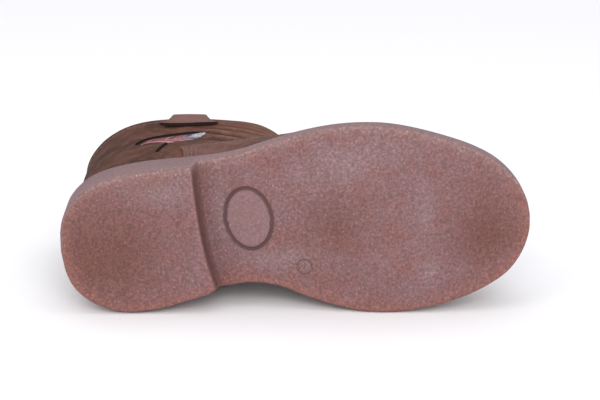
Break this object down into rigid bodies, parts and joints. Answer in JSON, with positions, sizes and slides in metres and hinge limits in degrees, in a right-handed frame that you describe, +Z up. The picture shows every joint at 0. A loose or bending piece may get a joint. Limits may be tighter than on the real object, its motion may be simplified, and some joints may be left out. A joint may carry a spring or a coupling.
{
  "type": "ankle boot",
  "caption": "Child's pull-on ankle boot lying on its inner side, with a moulded crepe-grained rubber sole, low heel, brown nubuck upper and pull strap.",
  "frame": {"origin": "on the floor, under the middle of the bounding box of the lying boot", "axes": "+X from heel to toe, +Y from the tread towards the collar, +Z up from the floor towards the outer side of the boot"},
  "size_m": [0.191, 0.1078, 0.0781],
  "materials": {
    "sole_rubber": "matt, moulded with a fine crepe grain",
    "nubuck": "matt brown nubuck",
    "insole_lining": "matt lining",
    "inlay": "embroidered, with a little metallic thread"
  },
  "bodies": {
    "root": {"sole": "sole_rubber", "insole": "insole_lining", "upper": "nubuck", "vamp": "nubuck", "pull_strap": "nubuck", "inlay": "inlay"}
  },
  "joints": []
}
